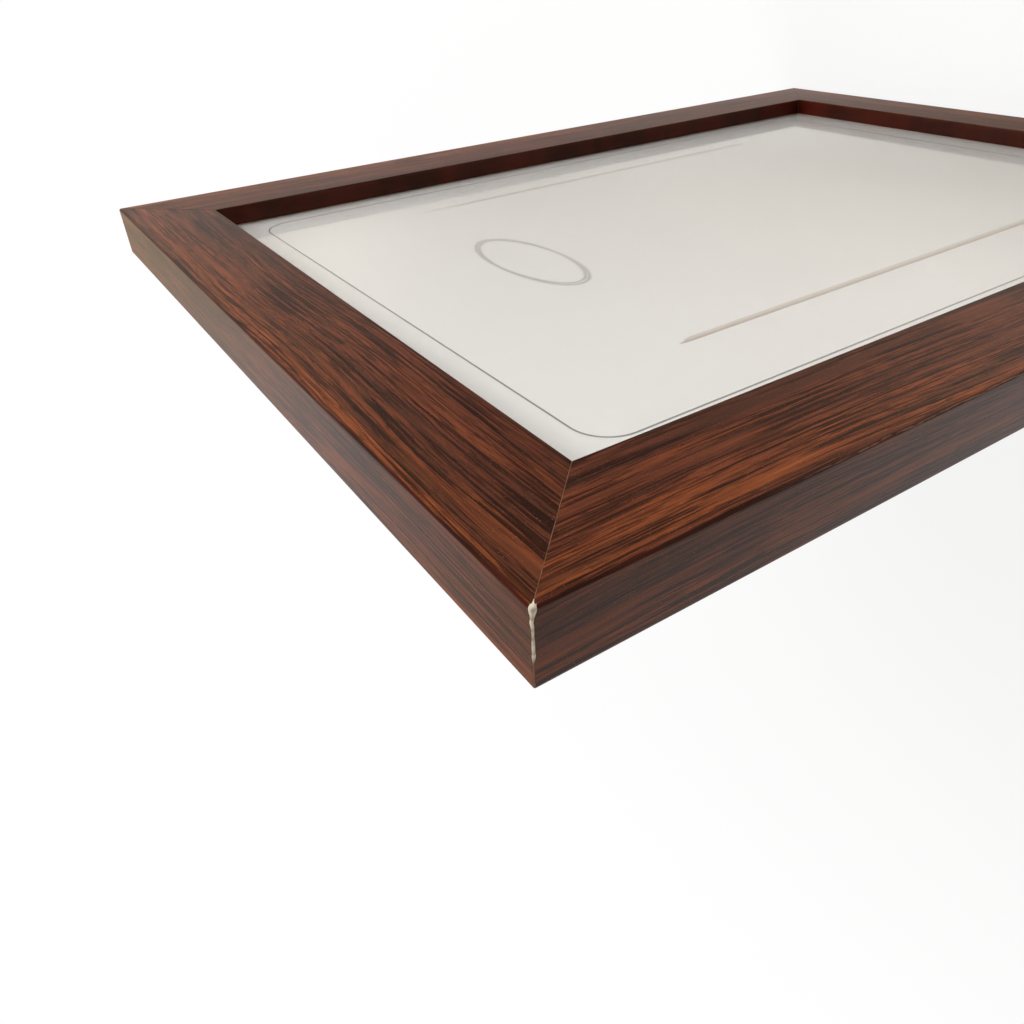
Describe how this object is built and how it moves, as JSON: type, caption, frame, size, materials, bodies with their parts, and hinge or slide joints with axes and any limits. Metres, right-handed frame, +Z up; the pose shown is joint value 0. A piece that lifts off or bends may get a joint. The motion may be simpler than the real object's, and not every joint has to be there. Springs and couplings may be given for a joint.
{
  "type": "certificate frame",
  "caption": "Upright mitred certificate frame: wood-grain rails, glazing, printed insert and a clipped backing board with sawtooth hangers and a fold-out easel strut.",
  "frame": {"origin": "middle of the lower edge, on which the frame stands", "axes": "+X to the right of someone facing the front, +Y from the front to the back, +Z up"},
  "size_m": [0.252, 0.0154, 0.339],
  "materials": {
    "wood_grain_foil": "printed dark reddish wood-grain foil, satin",
    "fibreboard_core": "raw fibreboard",
    "clear_glazing": "clear acrylic, polished",
    "printed_paper": "matt card with fine printed lines",
    "hardboard": "brown hardboard",
    "zinc_steel": "zinc-plated, satin"
  },
  "bodies": {
    "frame": {"rail_top": "fibreboard_core", "foil_top": "wood_grain_foil", "rail_bottom": "fibreboard_core", "foil_bottom": "wood_grain_foil", "rail_left": "fibreboard_core", "foil_left": "wood_grain_foil", "rail_right": "fibreboard_core", "foil_right": "wood_grain_foil", "corner_wedges": "zinc_steel", "clip_rivets": "zinc_steel", "hanger_portrait": "zinc_steel", "hanger_landscape": "zinc_steel", "hanger_rivets": "zinc_steel", "hinge_board_leaf": "zinc_steel", "hinge_pin": "zinc_steel", "board_leaf_rivets": "zinc_steel", "glazing": "clear_glazing", "insert_sheet": "printed_paper", "backing_board": "hardboard"},
    "strut": {"strut_leg": "hardboard", "hinge_leg_leaf": "zinc_steel", "leg_leaf_rivets": "zinc_steel"},
    "clip_top_1": {"clip_top_1": "zinc_steel"},
    "clip_top_2": {"clip_top_2": "zinc_steel"},
    "clip_bottom_1": {"clip_bottom_1": "zinc_steel"},
    "clip_bottom_2": {"clip_bottom_2": "zinc_steel"},
    "clip_left_1": {"clip_left_1": "zinc_steel"},
    "clip_left_2": {"clip_left_2": "zinc_steel"},
    "clip_right_1": {"clip_right_1": "zinc_steel"},
    "clip_right_2": {"clip_right_2": "zinc_steel"}
  },
  "joints": [
    {"name": "strut_hinge", "type": "hinge", "parent": "frame", "child": "strut", "pos_m": [0, 0.0046, 0.261], "axis": [1, 0, 0], "range_deg": [0, 32]},
    {"name": "clip_top_1_turn", "type": "hinge", "parent": "frame", "child": "clip_top_1", "pos_m": [0.06, 0.0027, 0.31], "axis": [0, 1, 0], "range_deg": [-90, 90]},
    {"name": "clip_top_2_turn", "type": "hinge", "parent": "frame", "child": "clip_top_2", "pos_m": [-0.06, 0.0027, 0.31], "axis": [0, 1, 0], "range_deg": [-90, 90]},
    {"name": "clip_bottom_1_turn", "type": "hinge", "parent": "frame", "child": "clip_bottom_1", "pos_m": [-0.06, 0.0027, 0.029], "axis": [0, 1, 0], "range_deg": [-90, 90]},
    {"name": "clip_bottom_2_turn", "type": "hinge", "parent": "frame", "child": "clip_bottom_2", "pos_m": [0.06, 0.0027, 0.029], "axis": [0, 1, 0], "range_deg": [-90, 90]},
    {"name": "clip_left_1_turn", "type": "hinge", "parent": "frame", "child": "clip_left_1", "pos_m": [-0.097, 0.0027, 0.2445], "axis": [0, 1, 0], "range_deg": [-90, 90]},
    {"name": "clip_left_2_turn", "type": "hinge", "parent": "frame", "child": "clip_left_2", "pos_m": [-0.097, 0.0027, 0.0945], "axis": [0, 1, 0], "range_deg": [-90, 90]},
    {"name": "clip_right_1_turn", "type": "hinge", "parent": "frame", "child": "clip_right_1", "pos_m": [0.097, 0.0027, 0.0945], "axis": [0, 1, 0], "range_deg": [-90, 90]},
    {"name": "clip_right_2_turn", "type": "hinge", "parent": "frame", "child": "clip_right_2", "pos_m": [0.097, 0.0027, 0.2445], "axis": [0, 1, 0], "range_deg": [-90, 90]}
  ]
}
